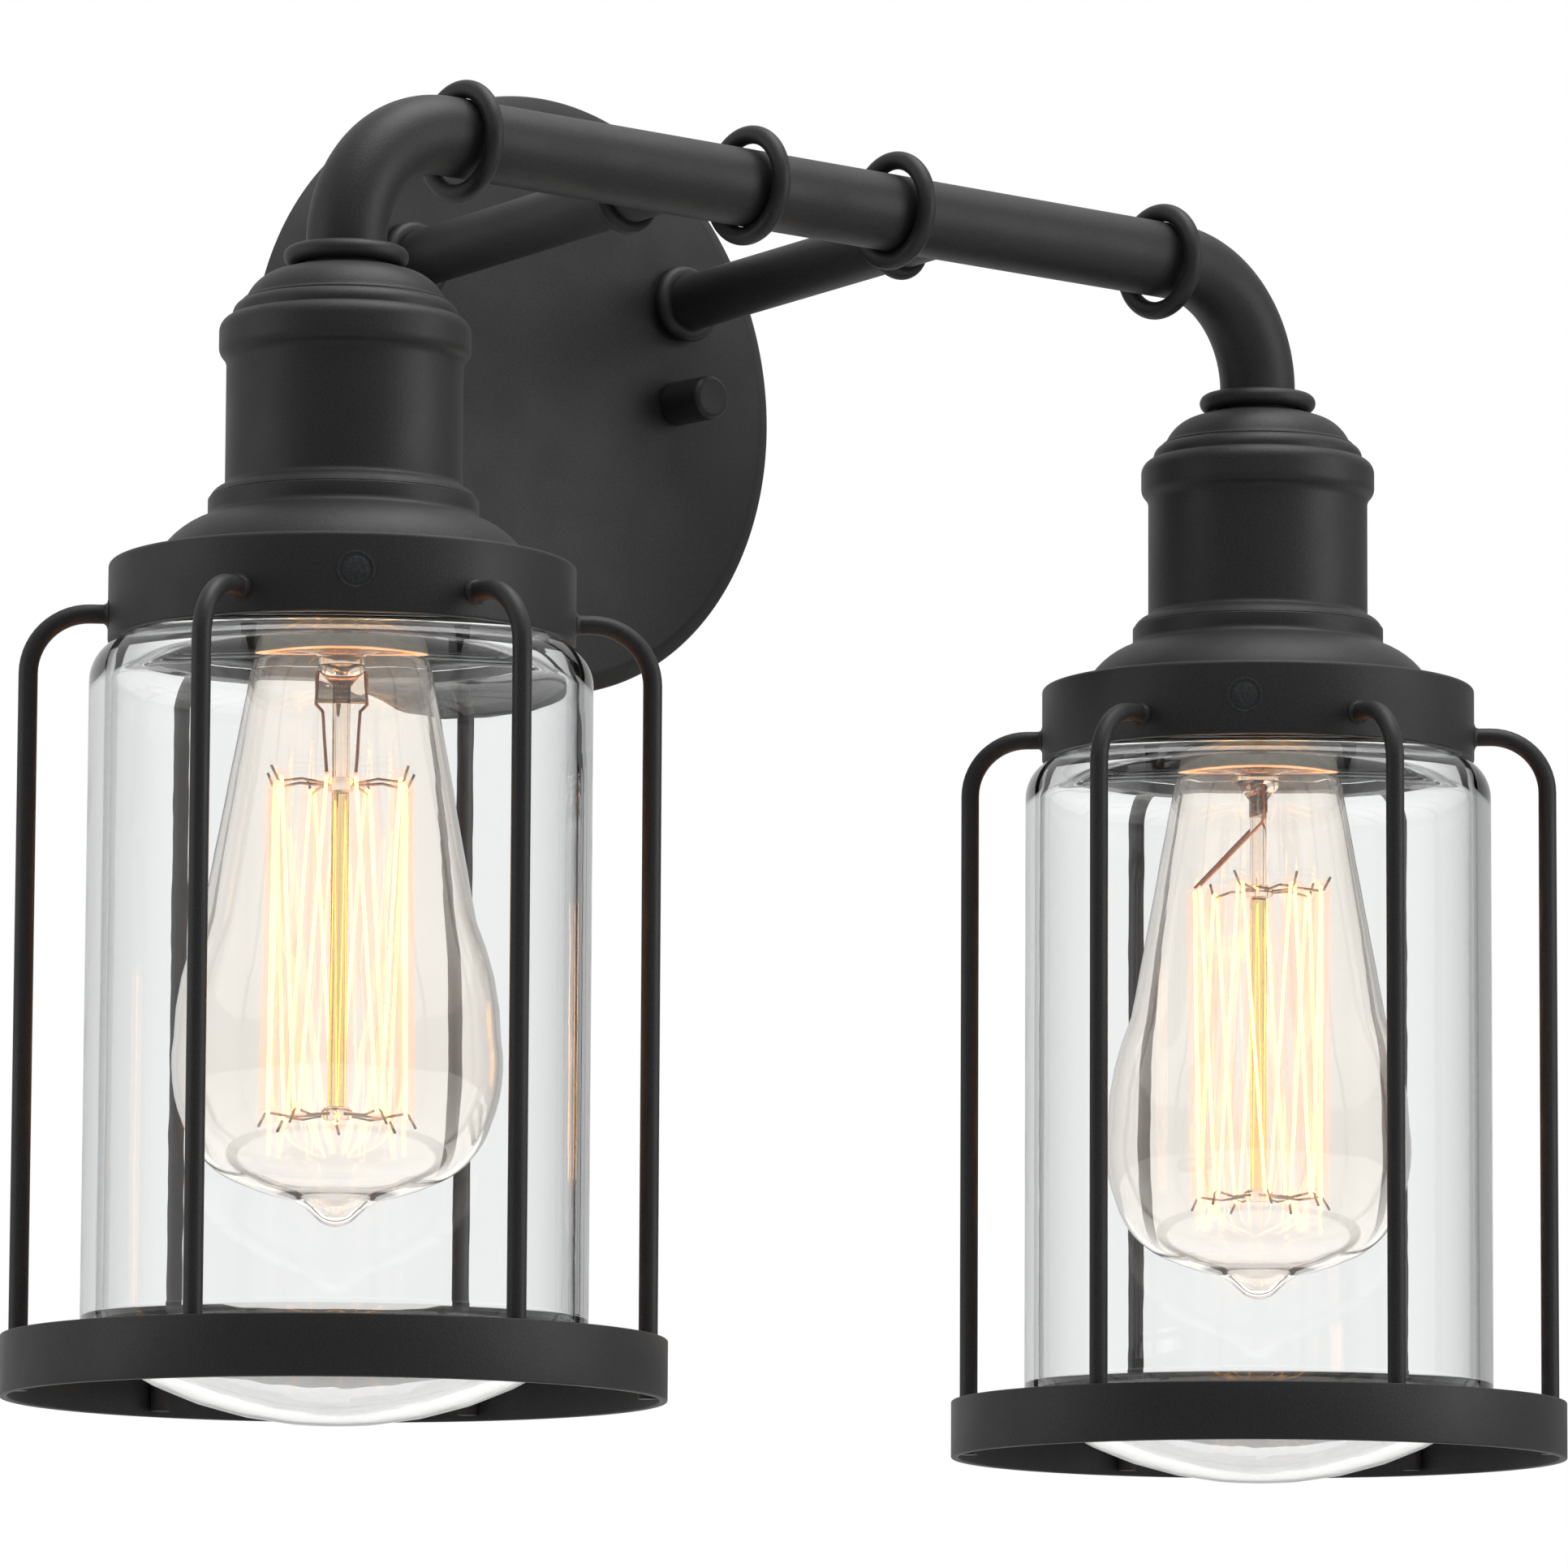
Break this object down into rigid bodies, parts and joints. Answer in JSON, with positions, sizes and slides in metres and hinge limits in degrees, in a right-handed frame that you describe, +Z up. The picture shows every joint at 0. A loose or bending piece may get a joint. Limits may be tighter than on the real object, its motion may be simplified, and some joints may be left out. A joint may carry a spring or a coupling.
{
  "type": "bathroom vanity light",
  "caption": "Bathroom vanity wall light: clear glass jars in wire cages hang from a bent tube bar that short arms carry out from a round canopy.",
  "frame": {"origin": "middle of the canopy's wall face, in the plane of the wall", "axes": "+X along the crossbar, +Y into the wall, +Z up"},
  "size_m": [0.38, 0.172, 0.2946],
  "materials": {
    "powder_coat": "fine textured matte",
    "thread_ring_metal": "as turned",
    "jar_glass": "clear",
    "lamp_glass": "clear",
    "stem_glass": "clear",
    "zinc_plate": "zinc plated",
    "green_screw": "green dyed zinc",
    "holder_porcelain": "glazed",
    "contact_brass": "stamped",
    "lamp_cap_metal": "rolled",
    "lamp_cap_insulator": "black",
    "solder": "soft solder",
    "support_wire": "drawn",
    "tungsten": "glowing",
    "lead_insulation": "extruded",
    "ground_copper": "bare copper",
    "connector_plastic": "moulded"
  },
  "bodies": {
    "fixture": {"canopy": "powder_coat", "arm_base_collars": "powder_coat", "arm_collars": "powder_coat", "crossbar": "powder_coat", "bar_rings": "powder_coat", "left_arm": "powder_coat", "right_arm": "powder_coat", "left_elbow": "powder_coat", "right_elbow": "powder_coat", "left_neck_ring": "powder_coat", "right_neck_ring": "powder_coat", "left_socket_cup": "powder_coat", "right_socket_cup": "powder_coat", "left_fitter": "powder_coat", "right_fitter": "powder_coat", "left_band_rivets": "powder_coat", "right_band_rivets": "powder_coat", "left_cage_ring": "powder_coat", "right_cage_ring": "powder_coat", "left_cage_wires": "powder_coat", "right_cage_wires": "powder_coat", "left_thread_ring": "thread_ring_metal", "right_thread_ring": "thread_ring_metal", "wall_bracket": "zinc_plate", "mounting_studs": "zinc_plate", "stud_nuts": "zinc_plate", "arm_nipples": "zinc_plate", "arm_locknuts": "zinc_plate", "cup_locknuts": "zinc_plate", "left_lamp_nipple": "zinc_plate", "right_lamp_nipple": "zinc_plate", "ground_screw": "green_screw", "left_lampholder": "holder_porcelain", "right_lampholder": "holder_porcelain", "left_screw_shell": "contact_brass", "right_screw_shell": "contact_brass", "left_centre_contact": "contact_brass", "right_centre_contact": "contact_brass", "left_lead_wires": "lead_insulation", "right_lead_wires": "lead_insulation", "ground_wire": "ground_copper", "wire_connectors": "connector_plastic"},
    "left_bulb": {"left_bulb_glass": "lamp_glass", "left_bulb_cap": "lamp_cap_metal", "left_bulb_insulator": "lamp_cap_insulator", "left_bulb_eyelet": "solder", "left_bulb_stem": "stem_glass", "left_filament_supports": "support_wire", "left_filament": "tungsten"},
    "left_jar": {"left_jar": "jar_glass"},
    "left_cap_nut": {"left_cap_nut": "powder_coat"},
    "right_bulb": {"right_bulb_glass": "lamp_glass", "right_bulb_cap": "lamp_cap_metal", "right_bulb_insulator": "lamp_cap_insulator", "right_bulb_eyelet": "solder", "right_bulb_stem": "stem_glass", "right_filament_supports": "support_wire", "right_filament": "tungsten"},
    "right_jar": {"right_jar": "jar_glass"},
    "right_cap_nut": {"right_cap_nut": "powder_coat"}
  },
  "joints": [
    {"name": "left_bulb_unscrews", "type": "hinge", "parent": "fixture", "child": "left_bulb", "pos_m": [-0.125, -0.107, -0.066], "axis": [0, 0, 1], "continuous": true},
    {"name": "left_jar_unscrews", "type": "hinge", "parent": "fixture", "child": "left_jar", "pos_m": [-0.125, -0.107, -0.069], "axis": [0, 0, 1], "continuous": true},
    {"name": "left_cap_nut_unscrews", "type": "hinge", "parent": "fixture", "child": "left_cap_nut", "pos_m": [-0.0365, -0.025, 0.002], "axis": [0, -1, 0], "continuous": true},
    {"name": "right_bulb_unscrews", "type": "hinge", "parent": "fixture", "child": "right_bulb", "pos_m": [0.125, -0.107, -0.066], "axis": [0, 0, 1], "continuous": true},
    {"name": "right_jar_unscrews", "type": "hinge", "parent": "fixture", "child": "right_jar", "pos_m": [0.125, -0.107, -0.069], "axis": [0, 0, 1], "continuous": true},
    {"name": "right_cap_nut_unscrews", "type": "hinge", "parent": "fixture", "child": "right_cap_nut", "pos_m": [0.0365, -0.025, 0.002], "axis": [0, -1, 0], "continuous": true}
  ]
}
